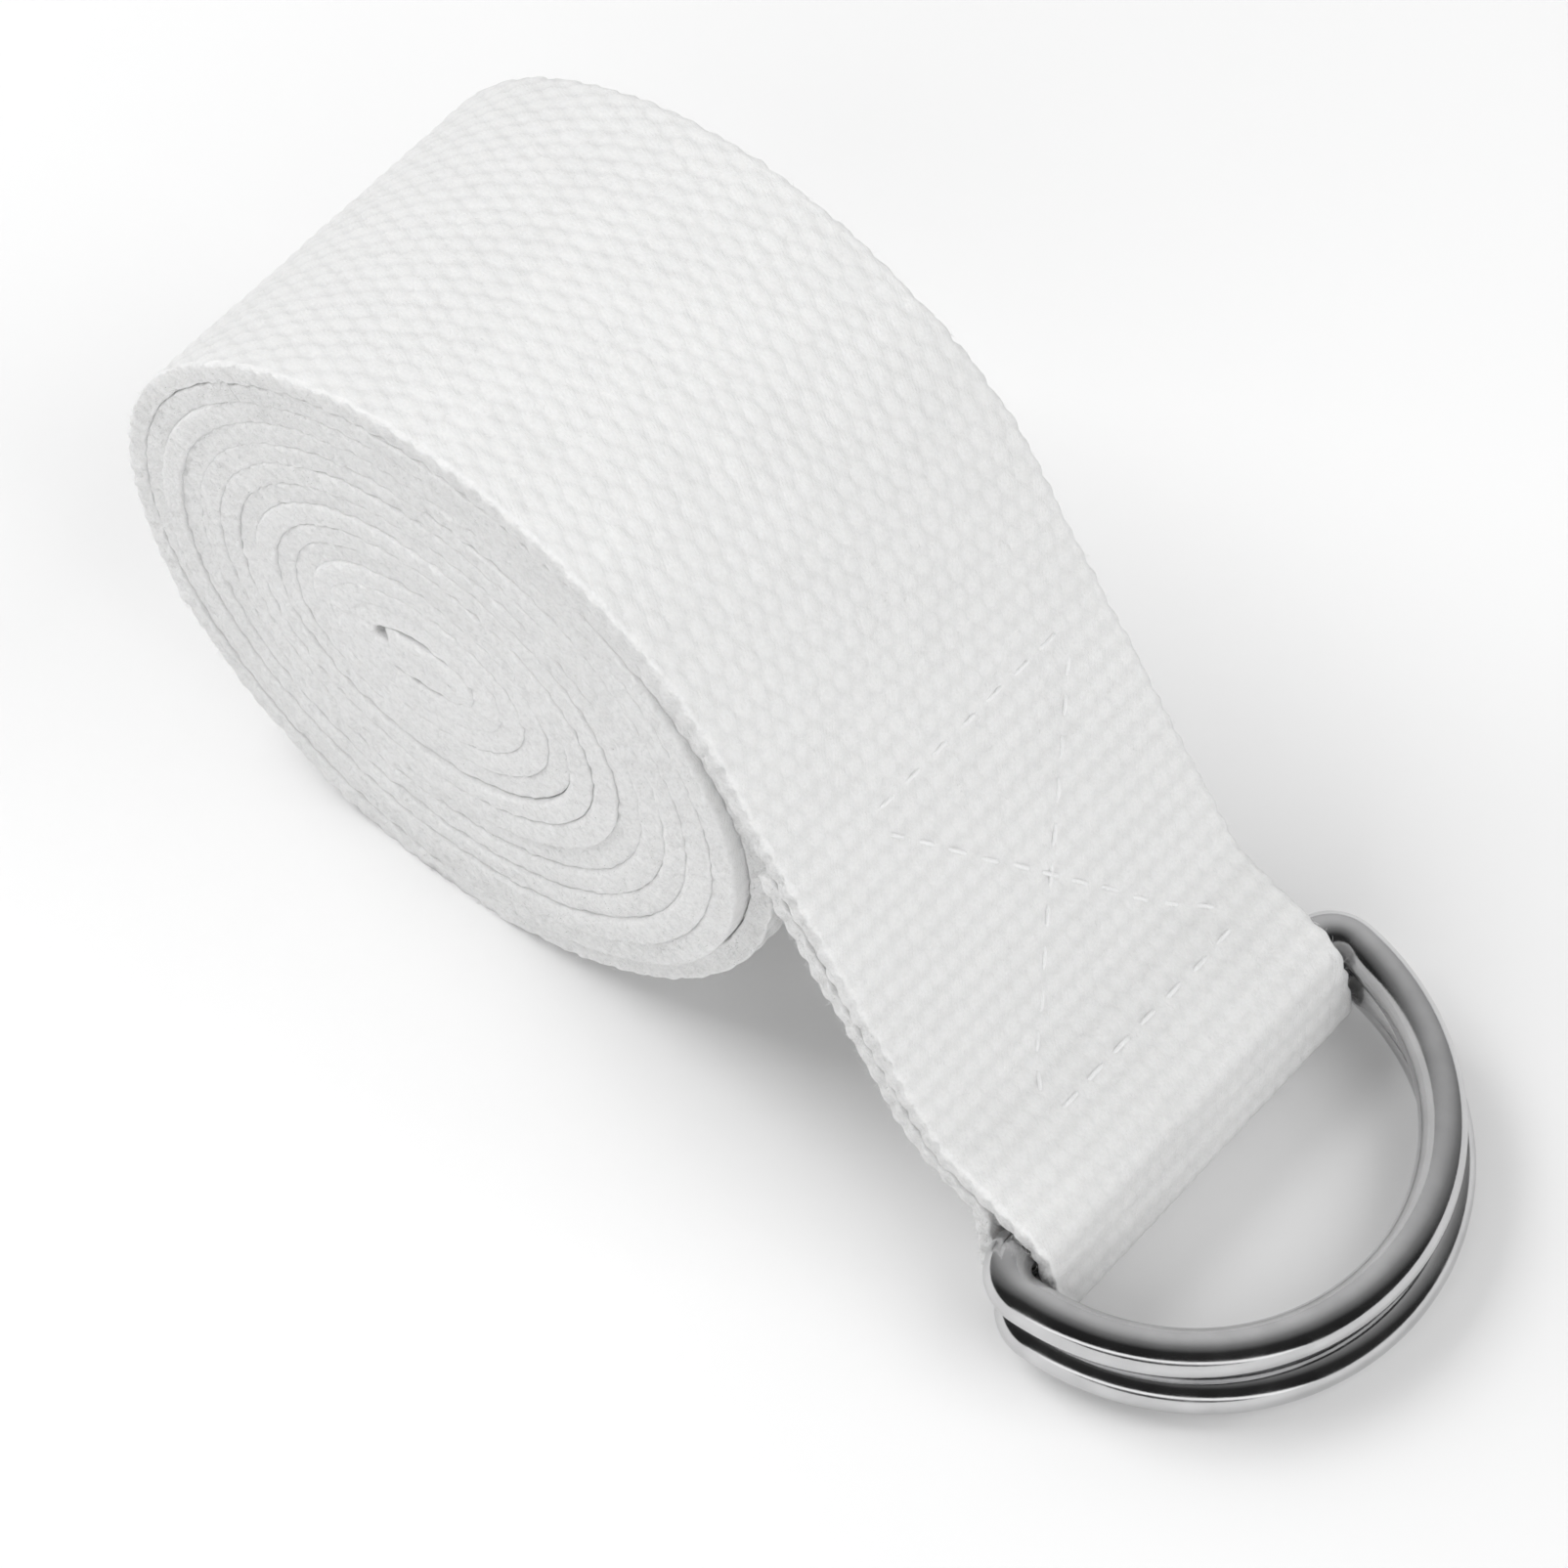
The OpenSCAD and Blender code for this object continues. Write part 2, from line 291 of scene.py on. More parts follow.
# ---------------------------------------------------------------- sizes, in millimetres and degrees
# the same values as in the part's source
WEB_WIDTH, WEB_THICK = 38.0, 1.85
HALF_THICK = WEB_THICK / 2
TURNS, STEPS_PER_TURN = 12.443, 40
CORE_LONG, CORE_SHORT, GROW_LONG, GROW_SHORT = 6.2, 3.4, 2.26, 2.2
DRIFT_X, DRIFT_Z, LEAN, FOOT_SINK = 0.18, 0.17, 7.0, 0.2
HEM_LEN, HEM_GAP, HEM_FOLD, HEM_DROP, HEM_END = 6.5, 0.3, 3.4, 0.7, -175
HEM_R = (WEB_THICK + HEM_GAP) / 2
TAIL_LEN, FLARE_R, FLARE_DROP = 34.6, 6.0, 20.0
LAP_TOP, LAP_GAP, LAP_FOLD_R, LOOP_PLAY = 8.0, 0.1, 1.5, 0.1
SLACK_DROP, SLACK_BEND = 80.0, 2.5
SEAM_TOP, SEAM_FOOT, SEAM_NEAR, SEAM_FAR, SEAM_MARGIN = 8.8, 40.8, -9.4, 13.8, 0.6
STITCH_PITCH, STITCH_LEN, DIAGONAL_INSET = 3.2, 2.5, 1.6
WIRE_R, RING_R, RING_DEPTH, RING_CORNER = 2.0, 21.6, 23.0, 2.8
FOLD_R = WIRE_R + LOOP_PLAY + HALF_THICK
LAYER_GAP = WEB_THICK + LAP_GAP


# ---------------------------------------------------------------- curves in the side view, x and z
def polar(angle):
    angle = np.radians(angle)
    return np.stack([np.cos(angle), np.sin(angle)], -1)


def turned(points, angle):
    angle = math.radians(angle)
    points = np.atleast_2d(points)
    return np.stack([points[:, 0] * math.cos(angle) - points[:, 1] * math.sin(angle),
                     points[:, 0] * math.sin(angle) + points[:, 1] * math.cos(angle)], -1)


def left(direction):
    return np.stack([-direction[..., 1], direction[..., 0]], -1)


def arc(middle, radius, start, end, steps=24):
    return np.asarray(middle) + radius * polar(np.linspace(start, end, steps + 1))


def unit(vectors):
    return vectors / np.linalg.norm(vectors, axis=1)[:, None]


def course(points):
    """Direction along a line of points."""
    return unit(np.gradient(points, axis=0))


def lengths(points):
    """How far along the line each point is."""
    return np.concatenate([[0], np.cumsum(np.linalg.norm(np.diff(points, axis=0), axis=1))])


def columns_at(where, known, values):
    """Interpolate both columns of values, known at some places, at other places."""
    return np.stack([np.interp(where, known, values[:, k]) for k in (0, 1)], -1)


def resample(points, spacing):
    along = lengths(points)
    count = max(2, int(round(along[-1] / spacing)) + 1)
    return columns_at(np.linspace(0, along[-1], count), along, points)


def smooth(points, reach):
    """Round off the line's corners over a few points to each side, and keep its ends in place."""
    weights = np.hanning(2 * reach + 3)[1:-1]
    weights /= weights.sum()
    out = points.copy()
    for k in (0, 1):
        line = points[:, k]
        before = 2 * line[0] - line[reach:0:-1]
        after = 2 * line[-1] - line[-2:-reach - 2:-1]
        out[:, k] = np.convolve(np.concatenate([before, line, after]), weights, "valid")
    return out


# ---------------------------------------------------------------- the webbing's middle line
WINDING_POINTS = 6000
# the hem's end already reaches the winding's first few points
HEM_OVERLAP = 3
LINE_SPACING, LINE_SMOOTHING = 0.1, 9


def wound(turns):
    """Points of the oval spiral after so many turns."""
    angle = np.radians(180 - 360 * turns)
    points = np.stack([(CORE_LONG + GROW_LONG * turns) * np.cos(angle),
                       (CORE_SHORT + GROW_SHORT * turns) * np.sin(angle)], -1)
    return turned(points, LEAN) + turns[:, None] * np.array([DRIFT_X, -DRIFT_Z])


def bar_of(joint):
    """Where a ring's bar is in the side view."""
    return np.array(joints[joint]["pos_m"])[[0, 2]] / MM


turn_no = np.linspace(0, TURNS, WINDING_POINTS)
winding = wound(turn_no)
winding_face = winding + left(course(winding)) * HALF_THICK
roll_place = np.array([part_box("rolled_webbing")[0].x / MM - winding_face[:, 0].min(),
                       -winding_face[:, 1].min() - FOOT_SINK])
winding = winding + roll_place


def hem_line():
    """The folded free end inside the core, which runs into the start of the winding."""
    join_r = HEM_R + HEM_DROP
    hem = np.concatenate([[[HEM_FOLD - HEM_LEN, HEM_R - HEM_DROP]],
                          arc([HEM_FOLD, -HEM_DROP], HEM_R, 90, -90),
                          arc([join_r - CORE_LONG, 0], join_r, -90, HEM_END)])
    return turned(hem, LEAN) + roll_place


def ring_end_line():
    """Tail, loop around both bars, slack layer and lap, to the webbing's sewn end."""
    upper_bar, lower_bar = bar_of("upper_ring_swing"), bar_of("lower_ring_swing")
    last_step = wound(np.array([TURNS - TURNS / round(TURNS * STEPS_PER_TURN), TURNS]))
    tail_dir = unit(np.diff(last_step, axis=0))[0]
    tail_slope = math.degrees(math.atan2(tail_dir[1], tail_dir[0]))
    tail_start = winding[-1]
    flare_mid = tail_start + tail_dir * TAIL_LEN + left(tail_dir) * FLARE_R
    flare_dir = polar(-FLARE_DROP)
    level = flare_mid - left(flare_dir) * FLARE_R
    lap_run = SEAM_FOOT + SEAM_MARGIN - TAIL_LEN - FLARE_R * math.radians(-FLARE_DROP - tail_slope)
    lap_foot = level + lap_run * flare_dir - LAYER_GAP * left(flare_dir)
    lap_fold_mid = lap_foot - LAP_FOLD_R * left(flare_dir)
    slack_top = lap_fold_mid + LAP_FOLD_R * polar(90 - SLACK_DROP)
    slack_angle = math.radians(SLACK_DROP)
    slack_low = HALF_THICK + SLACK_BEND * (1 - math.cos(slack_angle))
    slack_run = (slack_top[1] - slack_low) / math.sin(slack_angle)
    slack_x = slack_top[0] + slack_run * math.cos(slack_angle) + SLACK_BEND * math.sin(slack_angle)
    slack_mid = np.array([slack_x, HALF_THICK + SLACK_BEND])
    lap_end = tail_start + tail_dir * LAP_TOP - left(tail_dir) * LAYER_GAP
    between_bars = upper_bar - lower_bar
    fold_front = math.degrees(math.atan2(between_bars[1], between_bars[0])) - 90
    return np.concatenate([
        arc(flare_mid, FLARE_R, tail_slope - 90, -FLARE_DROP - 90),
        arc(upper_bar, FOLD_R, 90 - FLARE_DROP, fold_front),
        arc(lower_bar, FOLD_R, fold_front, -90),
        arc(slack_mid, SLACK_BEND, -90, -90 - SLACK_DROP),
        arc(lap_fold_mid, LAP_FOLD_R, 90 - SLACK_DROP, 90 - FLARE_DROP),
        arc(flare_mid, FLARE_R + LAYER_GAP, -FLARE_DROP - 90, tail_slope - 90),
        [lap_end]])


hem = hem_line()
line = resample(np.concatenate([hem, winding[HEM_OVERLAP:], ring_end_line()]), LINE_SPACING)
line = smooth(line, LINE_SMOOTHING)
line_s = lengths(line)
line_normal = left(course(line))
hem_length = lengths(hem)[-1]
winding_s = hem_length + lengths(winding)
TAIL_S = winding_s[-1]
LENGTH = line_s[-1]


def turn_at(s):
    return np.interp(s, winding_s, turn_no)


def line_at(s):
    """Middle line and its normal at the lengths s."""
    return columns_at(s, line_s, line), columns_at(s, line_s, line_normal)


# ---------------------------------------------------------------- noise and weave
NOISE_CELLS = 256
PICK_PITCH, YARN_PITCH = 2.17, 0.857
FLOAT_HALF_LONG, FLOAT_HALF_WIDE, FLOAT_POWER = 1.68, 0.82, 2.2


def noise(u, v, size, seed):
    """Smooth noise from -size to size that changes over one unit of u and of v."""
    table = np.random.default_rng(seed).uniform(-1, 1, (NOISE_CELLS, NOISE_CELLS))
    i, j = np.floor(u).astype(int), np.floor(v).astype(int)
    a, b = u - i, v - j
    a, b = a * a * (3 - 2 * a), b * b * (3 - 2 * b)

    def corner(right, up):
        return table[(i + right) % NOISE_CELLS, (j + up) % NOISE_CELLS]

    low = corner(0, 0) * (1 - a) + corner(1, 0) * a
    high = corner(0, 1) * (1 - a) + corner(1, 1) * a
    return size * (low * (1 - b) + high * b)


def bell(value, middle, spread):
    return np.exp(-((value - middle) / spread) ** 2)


def weave(s, y):
    """Height of a plain weave of plump yarn: about 1 on top of a float, 0 in the pits between."""
    s = s + noise(s / 7, y / 5, size=0.12, seed=3)
    y = y + noise(s / 9, y / 4, size=0.06, seed=4)
    pick, yarn = s / PICK_PITCH, y / YARN_PITCH
    height = np.full(pick.shape, -1.0)
    for row in (np.floor(pick), np.floor(pick) + 1):
        odd = np.mod(row, 2)
        column = odd + 2 * np.round((yarn - odd) / 2)
        along = np.abs(pick - row) * PICK_PITCH / FLOAT_HALF_LONG
        across = np.abs(yarn - column) * YARN_PITCH / FLOAT_HALF_WIDE
        # each float is a little fuller or flatter than the next
        plump = 0.12 * np.sin(row * 12.9898 + column * 78.233) + 0.08 * np.sin(row * 3.1 + column * 1.7)
        height = np.maximum(height, 1 + plump - along ** FLOAT_POWER - across ** FLOAT_POWER)
    return np.clip(height, -0.25, 1.25)


# ---------------------------------------------------------------- the webbing
# the weave shows from this turn outward, and the turns inside it show only their edges
DENSE_TURN = 11.15
DENSE_S = float(np.interp(DENSE_TURN, turn_no, winding_s))
# relief of the weave: deeper on the roll, shallower with low cross ribs on the tail
ROLL_RELIEF, TAIL_RELIEF, RIB_SHARE = 0.23, 0.17, 0.55
RELIEF_CHANGE = (TAIL_S - 30, TAIL_S + 15)
# painted shade darkens the weave's pits below this height of the weave, over this range
PIT_SHADE_BELOW, PIT_SHADE_RANGE = 0.75, 0.85
# the selvedge: its roundness, its scallops and its lumps
EDGE_R, EDGE_POWER_Y, EDGE_POWER_DEPTH = 0.6, 0.6, 0.4
ROLL_SCALLOP, TAIL_SCALLOP, EDGE_LUMP, EDGE_INSET = 0.17, 0.3, 0.1, 0.12
# the outermost turn is set back sideways around this turn number
SET_BACK, SET_BACK_TURN, SET_BACK_SPREAD = 1.7, 11.54, 0.15
# turns that lie more loosely: turn number and spread
LOOSE_TURNS = ((11.52, 0.16), (10.5, 0.13), (4.45, 0.14), (5.5, 0.1), (8.5, 0.12))
# room at the core, how far turns press together or part, and the fullest half thickness
FIRST_ROOM, TOUCH, LOOSE_GAP, FULLEST = 2.2, 0.11, 0.15, 1.3
# the cloth is fuller in the first turns, where it is crumpled around the hem
CORE_FILL, CORE_TURNS, CORE_FADE = 0.62, 1.3, 0.4
GROOVE_DEPTH, GROOVE_SPREAD = 0.1, 0.55
# the cloth near the ground is squeezed flat against it
FOOT_LEVEL, FOOT_SQUEEZE = 0.02, 0.02

near_top, far_top = np.array([SEAM_TOP, SEAM_NEAR]), np.array([SEAM_TOP, SEAM_FAR])
near_foot, far_foot = np.array([SEAM_FOOT, SEAM_NEAR]), np.array([SEAM_FOOT, SEAM_FAR])
CROSS_ROWS = ((near_top, far_top), (near_foot, far_foot))
DIAGONALS = ((near_top, far_foot), (far_top, near_foot))


def tube_mesh(name, tubes, uv):
    """One mesh of closed tubes, from points by tube, row along it and column around it."""
    count, rows, cols, _ = tubes.shape
    first = (np.arange(count) * rows * cols)[:, None]
    row = np.arange(rows - 1)[:, None] * cols
    col = np.arange(cols)
    after = (col + 1) % cols
    quads = np.stack([row + col, row + after, row + cols + after, row + cols + col], -1)
    quads = (first[:, :, None] + quads.reshape(1, -1, 4)).reshape(-1, 4)
    caps = np.concatenate([first + col[::-1], first + (rows - 1) * cols + col])
    corners = np.concatenate([quads.ravel(), caps.ravel()])
    sizes = np.concatenate([np.full(len(quads), 4), np.full(len(caps), cols)])
    starts = np.cumsum(sizes) - sizes
    mesh = bpy.data.meshes.new(name)
    mesh.vertices.add(count * rows * cols)
    mesh.vertices.foreach_set("co", (tubes * MM).astype(np.float32).ravel())
    mesh.loops.add(len(corners))
    mesh.loops.foreach_set("vertex_index", corners.astype(np.int32))
    mesh.polygons.add(len(sizes))
    mesh.polygons.foreach_set("loop_start", starts.astype(np.int32))
    mesh.polygons.foreach_set("loop_total", sizes.astype(np.int32))
    mesh.update(calc_edges=True)
    mesh.polygons.foreach_set("use_smooth", np.ones(len(sizes), bool))
    layer = mesh.uv_layers.new(name="strip")
    layer.data.foreach_set("uv", uv.reshape(-1, 2)[corners].astype(np.float32).ravel())
    mesh.validate()
    ob = bpy.data.objects.new(name, mesh)
    scene.collection.objects.link(ob)
    return ob


def section(face_step, back_step, edge_steps):
    """Once around the webbing: y, depth from -1 on the back to 1 on the face, and how far it is edge."""
    inner = WEB_WIDTH / 2 - EDGE_R
    face = np.linspace(-inner, inner, int(round(2 * inner / face_step)) + 1)
    back = np.linspace(inner, -inner, int(round(2 * inner / back_step)) + 1)
    angle = np.radians(np.linspace(90, -90, edge_steps + 2)[1:-1])
    edge_y = inner + EDGE_R * np.abs(np.cos(angle)) ** EDGE_POWER_Y
    edge_depth = np.sign(np.sin(angle)) * np.abs(np.sin(angle)) ** EDGE_POWER_DEPTH
    y = np.concatenate([face, edge_y, back, -edge_y[::-1]])
    depth = np.concatenate([np.ones_like(face), edge_depth, -np.ones_like(back), edge_depth[::-1]])
    edge = np.concatenate([np.zeros_like(face), np.cos(angle), np.zeros_like(back), np.cos(angle)[::-1]])
    return y, depth, edge


def seam_groove(s, y):
    """How far the seam pulls the cloth in, from 0 to 1, near its rows."""
    u = s - TAIL_S
    pull = np.zeros(u.shape)
    for (u0, y0), (u1, y1) in CROSS_ROWS + DIAGONALS:
        reach = ((u - u0) * (u1 - u0) + (y - y0) * (y1 - y0)) / ((u1 - u0) ** 2 + (y1 - y0) ** 2)
        reach = np.clip(reach, 0, 1)
        away = np.hypot(u - u0 - reach * (u1 - u0), y - y0 - reach * (y1 - y0))
        pull = np.maximum(pull, bell(away, 0, GROOVE_SPREAD))
    return pull


def sway(s):
    """Sideways wander of the webbing as it was wound: the turns don't line up exactly."""
    wander = noise(s / 60, s * 0, size=0.3, seed=11) + noise(s / 17, s * 0, size=0.16, seed=12)
    wander = wander + SET_BACK * bell(turn_at(s), SET_BACK_TURN, SET_BACK_SPREAD)
    return wander * np.clip((TAIL_S + 4 - s) / 20, 0, 1)


def half_thickness(s):
    """Half thickness as it shows: wound turns puff up until they touch, with a few looser ones."""
    turns = turn_at(s)
    here = wound(turns)
    room_outside = np.linalg.norm(wound(turns + 1) - here, axis=1)
    room_inside = np.linalg.norm(here - wound(np.maximum(turns - 1, 0)), axis=1)
    room = np.minimum(np.where(turns > 1, room_inside, FIRST_ROOM), room_outside)
    loose = np.clip(noise(s / 34, s * 0, size=2.2, seed=21) - 0.7, 0, 1)
    for turn, spread in LOOSE_TURNS:
        loose = np.maximum(loose, bell(turns, turn, spread))
    puffed = np.clip(room / 2 + TOUCH - LOOSE_GAP * loose, HALF_THICK, FULLEST)
    on_roll = np.clip((TAIL_S - s) / 12, 0, 1) * np.clip((s - hem_length) / 3, 0, 1)
    core = CORE_FILL * np.clip((CORE_TURNS - turns) / CORE_FADE, 0, 1)
    return HALF_THICK + np.maximum((puffed - HALF_THICK) * on_roll, core)


# how much painted shade a height of the weave gets, from 0 to 1
def pit_shade(height):
    return np.clip((PIT_SHADE_BELOW - height) / PIT_SHADE_RANGE, 0, 1)


def ribbon(name, start, end, spacing, around, roll_relief, tail_relief):
    """The webbing between two lengths along its middle line, with the weave raised on both faces."""
    s = np.linspace(start, end, int(round((end - start) / spacing)) + 1)
    y, depth, edge = around
    along, across = np.meshgrid(s, y, indexing="ij")
    side = np.sign(across)
    on_face = np.clip(depth, 0, 1) ** 2 * (1 - edge)
    on_back = np.clip(-depth, 0, 1) ** 2 * (1 - edge)

    on_tail = np.interp(along, RELIEF_CHANGE, (0, 1))
    relief = roll_relief + on_tail * (tail_relief - roll_relief)
    rib = 0.5 + 0.5 * np.cos(2 * math.pi * along / PICK_PITCH)
    front = weave(along, across)
    front = front + on_tail * RIB_SHARE * (rib - front)
    back = weave(along + PICK_PITCH, across)
    uneven = noise(along / 0.55, across / 0.5 + depth * 2, size=0.03, seed=31)
    uneven = uneven + noise(along / 6, across / 5 + depth * 3, size=0.04, seed=32)
    height = depth * half_thickness(s)[:, None]
    height = height - on_face * relief * (1 - front) + on_back * tail_relief * (1 - back)
    height = height + (on_back - on_face) * GROOVE_DEPTH * seam_groove(along, across)
    height = height + np.sign(depth) * uneven * np.maximum(on_face, 0.4)
    height = height + edge * depth * noise(along / 0.8, depth * 2 + side * 5, size=0.1, seed=35)

    # selvedge: the weft turns back around the outer yarn at every pick
    turn_back = np.abs(np.cos(math.pi * along / PICK_PITCH + 0.9 * depth + (side > 0) * 1.2))
    scallop = np.interp(along, (DENSE_S, TAIL_S - 20), (ROLL_SCALLOP, TAIL_SCALLOP))
    lump = scallop * (turn_back - 0.6)
    lump = lump + noise(along / 0.62, depth * 2.6 + side * 9, size=EDGE_LUMP, seed=33)
    lump = lump + noise(along / 1.7, depth * 1.2 + side * 9, size=EDGE_LUMP, seed=34)
    sideways = across + side * edge * (lump - EDGE_INSET) + sway(s)[:, None]

    middle, normal = line_at(s)
    x = middle[:, 0:1] + normal[:, 0:1] * height
    z = middle[:, 1:2] + normal[:, 1:2] * height
    z = np.where(z < FOOT_LEVEL, FOOT_LEVEL + (z - FOOT_LEVEL) * FOOT_SQUEEZE, z)
    points = np.stack([x, sideways, np.maximum(z, 0)], -1)
    ob = tube_mesh(name, points[None], np.stack([along, across + depth * edge * 0.9], -1))
    # painted shade in the weave's hollows, kept on the mesh for the colour
    painted_pit_shade = on_face * pit_shade(front) + on_back * pit_shade(back)
    # how strongly the painted speck highlight and shade shows: more on the selvedges
    speck_paint_share = np.broadcast_to(0.3 + 0.55 * edge, along.shape)
    for key, values in (("pit_shade", painted_pit_shade), ("speck_paint_share", speck_paint_share)):
        layer = ob.data.attributes.new(key, "FLOAT", "POINT")
        layer.data.foreach_set("value", values.astype(np.float32).ravel())
    return ob


def add_webbing():
    """The whole webbing as one mesh: the part whose weave shows, and the turns inside it."""
    fine = section(face_step=0.24, back_step=0.6, edge_steps=9)
    plain = section(face_step=2.6, back_step=2.6, edge_steps=11)
    outer = ribbon("webbing", DENSE_S, LENGTH, 0.36, fine, ROLL_RELIEF, TAIL_RELIEF)
    inner = ribbon("webbing_inner", 0.0, DENSE_S, 0.3, plain, 0.0, 0.0)
    bpy.ops.object.select_all(action="DESELECT")
    for ob in (outer, inner):
        ob.select_set(True)
    bpy.context.view_layer.objects.active = outer
    bpy.ops.object.join()
    outer.data.materials.append(cotton)
    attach(outer, "strap")
    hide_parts("rolled_webbing", "ring_end_webbing")
    return outer


webbing = add_webbing()

# ---------------------------------------------------------------- sewing threads
STITCH_ROWS, STITCH_SIDES, STITCH_JITTER = 13, 10, 0.06
# a thread's middle rises a little, its ends sink, and all of it is bedded in the cloth
THREAD_R, THREAD_TAPER, THREAD_RISE, THREAD_SINK, THREAD_BEDDING = 0.2, 0.35, 0.02, 0.55, 0.13


def circle(sides):
    """Cosines and sines of evenly spaced angles, shaped to scale the last axis of points."""
    angle = np.linspace(0, 2 * np.pi, sides, endpoint=False)
    return np.cos(angle)[:, None], np.sin(angle)[:, None]


def tube(centre, radius, sides):
    """Points around a line, with a radius at each of its points."""
    direction = course(centre)
    beside = np.tile([0.0, 0.0, 1.0], (len(direction), 1))
    beside[np.abs(direction[:, 2]) > 0.9] = [1.0, 0.0, 0.0]
    u = unit(np.cross(direction, beside))
    v = np.cross(direction, u)
    cosine, sine = circle(sides)
    return centre[:, None] + (u[:, None] * cosine + v[:, None] * sine) * radius[:, None, None]


def thread_piece(name, tubes):
    ob = tube_mesh(name, tubes, tubes[..., :2])
    ob.data.materials.append(thread)
    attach(ob, "strap")
    return ob


def stitches_between(start, end):
    """Middle and direction of each stitch in a row, along and across the tail."""
    run = np.linalg.norm(end - start)
    count = int(run // STITCH_PITCH)
    return [(start + (end - start) * (i + 0.5) / count, (end - start) / run) for i in range(count)]


def seam_stitches():
    inset = np.array([DIAGONAL_INSET, 0])
    rows = [stitches_between(a, b) for a, b in CROSS_ROWS]
    rows += [stitches_between(a + inset, b - inset) for a, b in DIAGONALS]
    return sum(rows, [])


def seam_thread(name, depth, node):
    """One thread of the seam: stitches that bow out of the cloth and dip into it at their ends."""
    t = np.linspace(-1, 1, STITCH_ROWS)
    rise = depth + np.sign(depth) * (THREAD_RISE - THREAD_SINK * np.abs(t) ** 3)
    radius = THREAD_R * (1 - THREAD_TAPER * np.abs(t) ** 6)
    tubes = []
    for middle, along in seam_stitches():
        at = middle + along * (t * STITCH_LEN / 2)[:, None] + rng.normal(0, STITCH_JITTER, 2)
        cloth, normal = line_at(TAIL_S + at[:, 0])
        spot = cloth + normal * rise[:, None]
        tubes.append(tube(np.stack([spot[:, 0], at[:, 1], spot[:, 1]], -1), radius, STITCH_SIDES))
    ob = thread_piece(name, np.array(tubes))
    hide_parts(node)
    return ob


face_depth, lap_depth = HALF_THICK - THREAD_BEDDING, THREAD_BEDDING - HALF_THICK - LAYER_GAP
needle = seam_thread("box_seam_needle_thread", face_depth, "box_stitch_needle_thread")
bobbin = seam_thread("box_seam_bobbin_thread", lap_depth, "box_stitch_bobbin_thread")
hem_threads = [frame["nodes"][n] for n in ("hem_stitch_needle_thread", "hem_stitch_bobbin_thread")]
for hem_thread in hem_threads:
    hem_thread.data.materials.clear()
    hem_thread.data.materials.append(thread)

# ---------------------------------------------------------------- lint: short cotton fibres on the cloth
EDGE_FIBRES, FACE_FIBRES, NEAR_SHARE = 15000, 3000, 0.7
FIBRE_ROWS, FIBRE_SIDES, FIBRE_R, FIBRE_TIP = 5, 3, 0.016, 1.15
FIBRE_LENGTH = (0.25, 0.85)
EDGE_FIBRE_HEIGHT, FACE_FIBRE_HEIGHT, FIBRE_FLOOR = 0.3, 0.22, 0.05
EDGE_ROOT_INSET, FACE_ROOT_SINK, FACE_HALF_WIDTH = 0.15, 0.12, 18


def add_lint(name):
    """Fibres that start in the cloth and arch away from it, more of them near the outer end."""
    edge_s = np.sqrt(rng.uniform(0, 1, EDGE_FIBRES)) * LENGTH
    face_s = rng.uniform(DENSE_S, LENGTH - 30, FACE_FIBRES)
    s = np.concatenate([edge_s, face_s])
    edge_side = np.where(rng.uniform(size=EDGE_FIBRES) < NEAR_SHARE, -1.0, 1.0)
    side = np.concatenate([edge_side, np.zeros(FACE_FIBRES)])
    on_edge = side != 0
    count = len(s)
    middle, normal = line_at(s)
    half = half_thickness(s)
    depth = np.where(on_edge, rng.uniform(-0.9, 0.9, count) * half, half - FACE_ROOT_SINK)
    on_face_y = rng.uniform(-FACE_HALF_WIDTH, FACE_HALF_WIDTH, count)
    y = np.where(on_edge, side * (WEB_WIDTH / 2 - EDGE_ROOT_INSET), on_face_y) + sway(s)
    root = np.stack([middle[:, 0] + normal[:, 0] * depth, y, middle[:, 1] + normal[:, 1] * depth], -1)

    forward = np.stack([normal[:, 1], 0 * s, -normal[:, 0]], -1)
    upward = np.stack([normal[:, 0], 0 * s, normal[:, 1]], -1)
    sideways = np.array([0, 1.0, 0])
    out = np.where(on_edge[:, None], side[:, None] * sideways, upward)
    lay = forward * rng.normal(0, 1, (count, 1))
    lay = lay + np.where(on_edge[:, None], upward, sideways) * rng.normal(0, 0.8, (count, 1))
    lay = unit(lay)
    beside = np.cross(lay, out)

    each = (count, 1, 1)
    t = np.linspace(0, 1, FIBRE_ROWS)[None, :, None]
    length = rng.uniform(*FIBRE_LENGTH, each)
    height = np.where(on_edge, EDGE_FIBRE_HEIGHT, FACE_FIBRE_HEIGHT)[:, None, None]
    height = height * rng.uniform(0.3, 1.3, each)
    arch = height * np.sin(t * math.pi * rng.uniform(0.5, 0.95, each))
    bend = t ** 2 * rng.normal(0, 0.25, each)
    fibre = root[:, None] + lay[:, None] * length * t + out[:, None] * arch + beside[:, None] * bend
    fibre[..., 2] = np.maximum(fibre[..., 2], FIBRE_FLOOR)
    cosine, sine = circle(FIBRE_SIDES)
    ring = beside[:, None, None] * cosine + out[:, None, None] * sine
    tubes = fibre[:, :, None] + ring * FIBRE_R * (FIBRE_TIP - t[..., None])
    return thread_piece(name, tubes)


fuzz = add_lint("webbing_lint")

# ---------------------------------------------------------------- rings
FAR_STEPS, CORNER_STEPS, BAR_POINTS, WIRE_SIDES = 160, 24, 25, 40


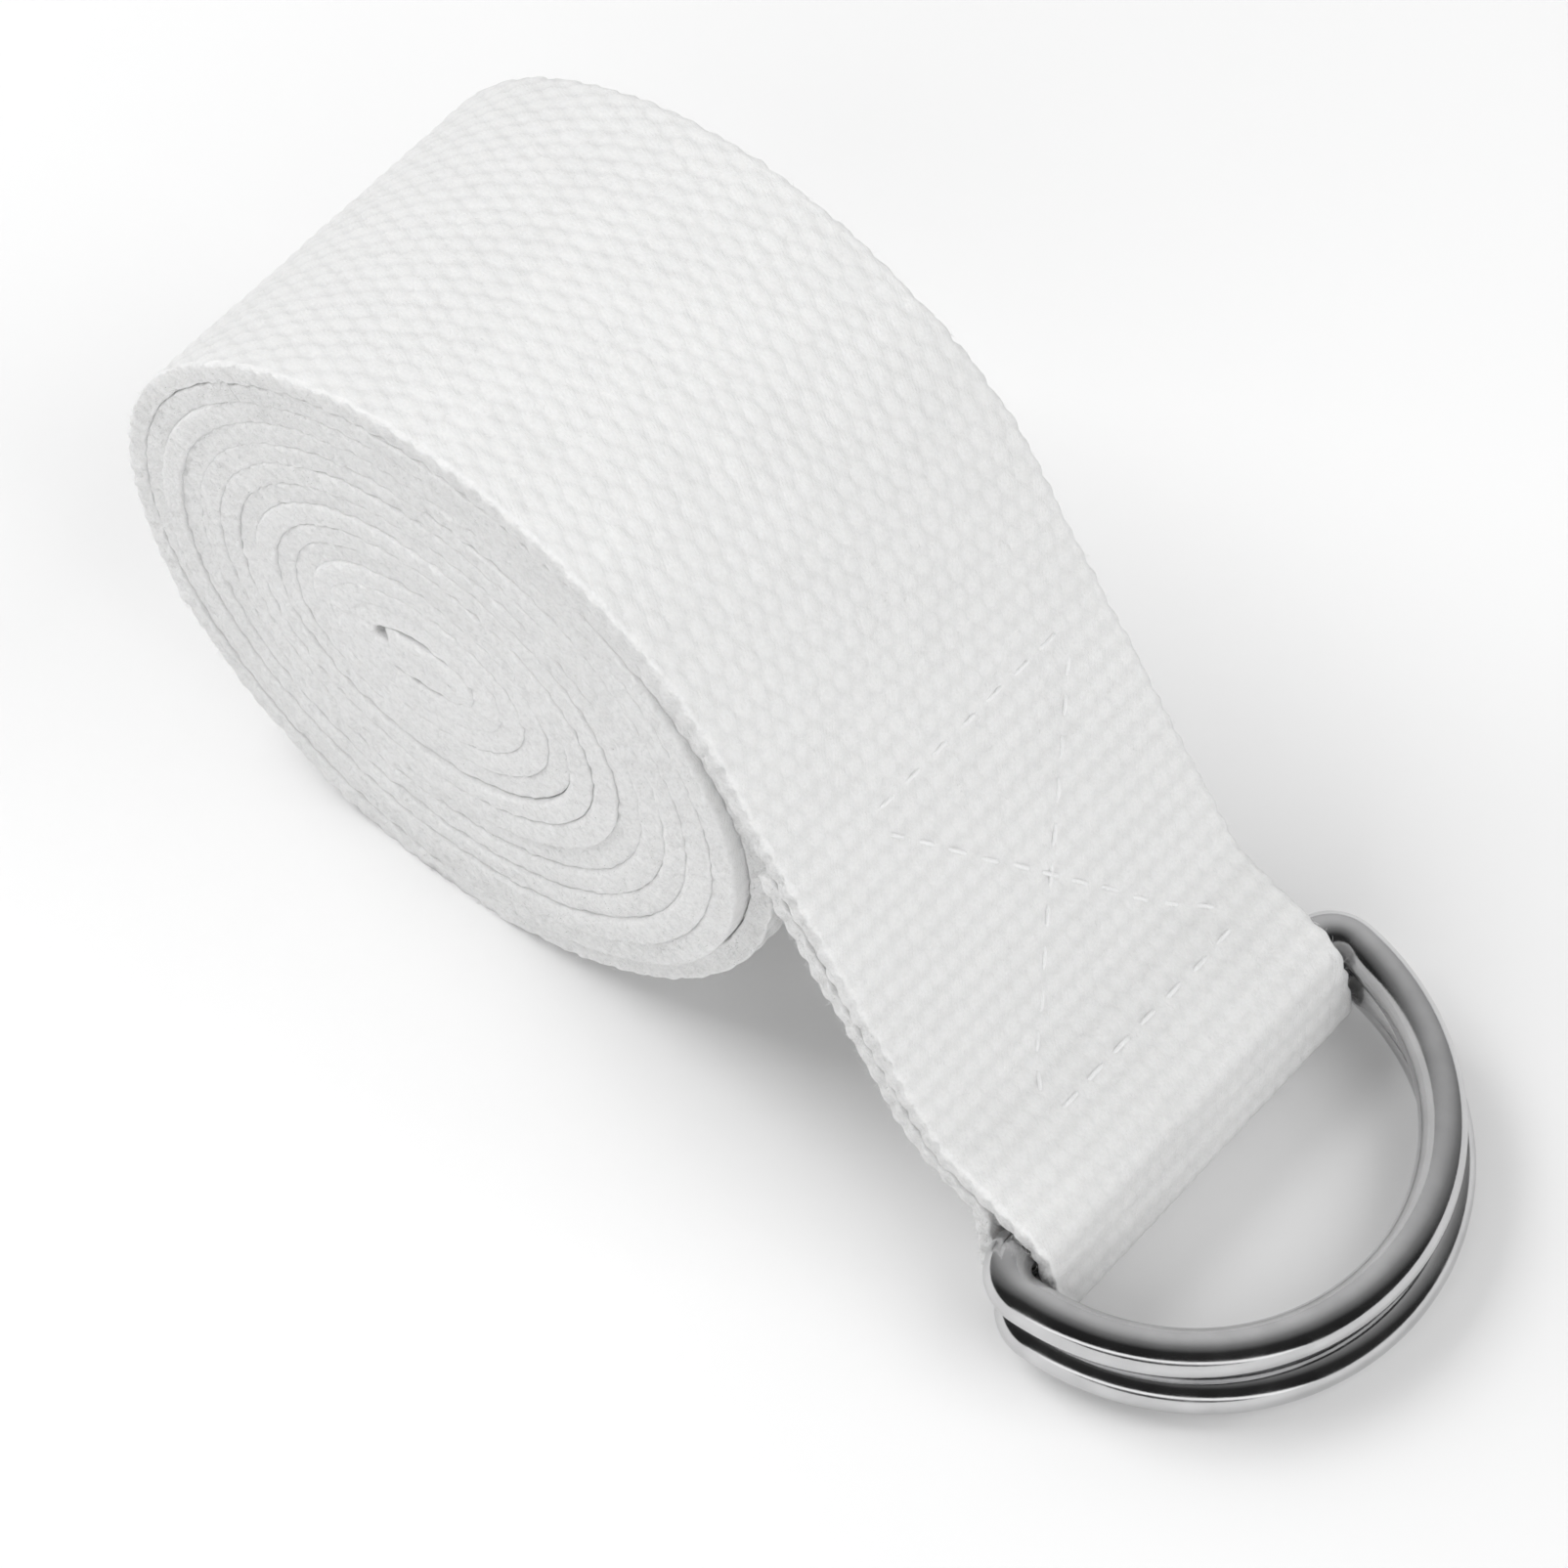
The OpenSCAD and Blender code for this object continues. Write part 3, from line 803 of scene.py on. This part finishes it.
def ring_line():
    """Middle line of a ring's wire in its own plane, with the middle of its bar at the origin."""
    centre = RING_DEPTH - RING_R
    bar_half = math.sqrt((RING_R - RING_CORNER) ** 2 - (RING_CORNER - centre) ** 2)
    tilt = math.degrees(math.atan((RING_CORNER - centre) / bar_half))
    far = arc([centre, 0], RING_R, tilt - 90, 90 - tilt, FAR_STEPS)
    top = arc([RING_CORNER, bar_half], RING_CORNER, 90 - tilt, 180, CORNER_STEPS)
    low = arc([RING_CORNER, -bar_half], RING_CORNER, 180, 270 + tilt, CORNER_STEPS)
    bar_y = np.linspace(bar_half, -bar_half, BAR_POINTS)[1:-1]
    return np.concatenate([far, top[1:], np.stack([0 * bar_y, bar_y], -1), low[:-1]])


def add_ring(name, joint, body, node):
    """A closed ring of round wire. Both rings dip until the far side of the lower one meets the ground."""
    wire = ring_line()
    direction = unit(np.roll(wire, -1, 0) - np.roll(wire, 1, 0))
    outward = -left(direction)
    cosine, sine = circle(WIRE_SIDES)
    x, y = np.moveaxis(wire[:, None] + outward[:, None] * WIRE_R * cosine, -1, 0)
    z = WIRE_R * sine[:, 0]
    bar = np.array(joints[joint]["pos_m"]) / MM
    low_bar_z = joints["lower_ring_swing"]["pos_m"][2] / MM
    dip = math.asin((low_bar_z - WIRE_R) / RING_DEPTH)
    placed = np.stack([bar[0] + x * math.cos(dip) + z * math.sin(dip),
                       bar[1] + y,
                       bar[2] - x * math.sin(dip) + z * math.cos(dip)], -1)
    count = len(wire)
    here, around = np.arange(count)[:, None] * WIRE_SIDES, np.arange(WIRE_SIDES)
    beyond = np.roll(here, -1, 0)
    after = np.roll(around, -1)
    faces = np.stack([here + around, beyond + around, beyond + after, here + after], -1).reshape(-1, 4)
    mesh = bpy.data.meshes.new(name)
    mesh.from_pydata((placed.reshape(-1, 3) * MM).tolist(), [], faces.tolist())
    mesh.polygons.foreach_set("use_smooth", np.ones(len(faces), bool))
    mesh.update()
    ob = bpy.data.objects.new(name, mesh)
    scene.collection.objects.link(ob)
    ob.data.materials.append(steel)
    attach(ob, body)
    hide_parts(node)


add_ring("upper_ring_wire", "upper_ring_swing", "upper_ring", "upper_d_ring")
add_ring("lower_ring_wire", "lower_ring_swing", "lower_ring", "lower_d_ring")

# ---------------------------------------------------------------- floor
FLOOR_SIZE = 6
bpy.ops.mesh.primitive_plane_add(size=FLOOR_SIZE, location=(0, 0, 0))
floor = bpy.context.object
floor.name = "floor"
floor.data.materials.append(floor_material("floor_paint"))
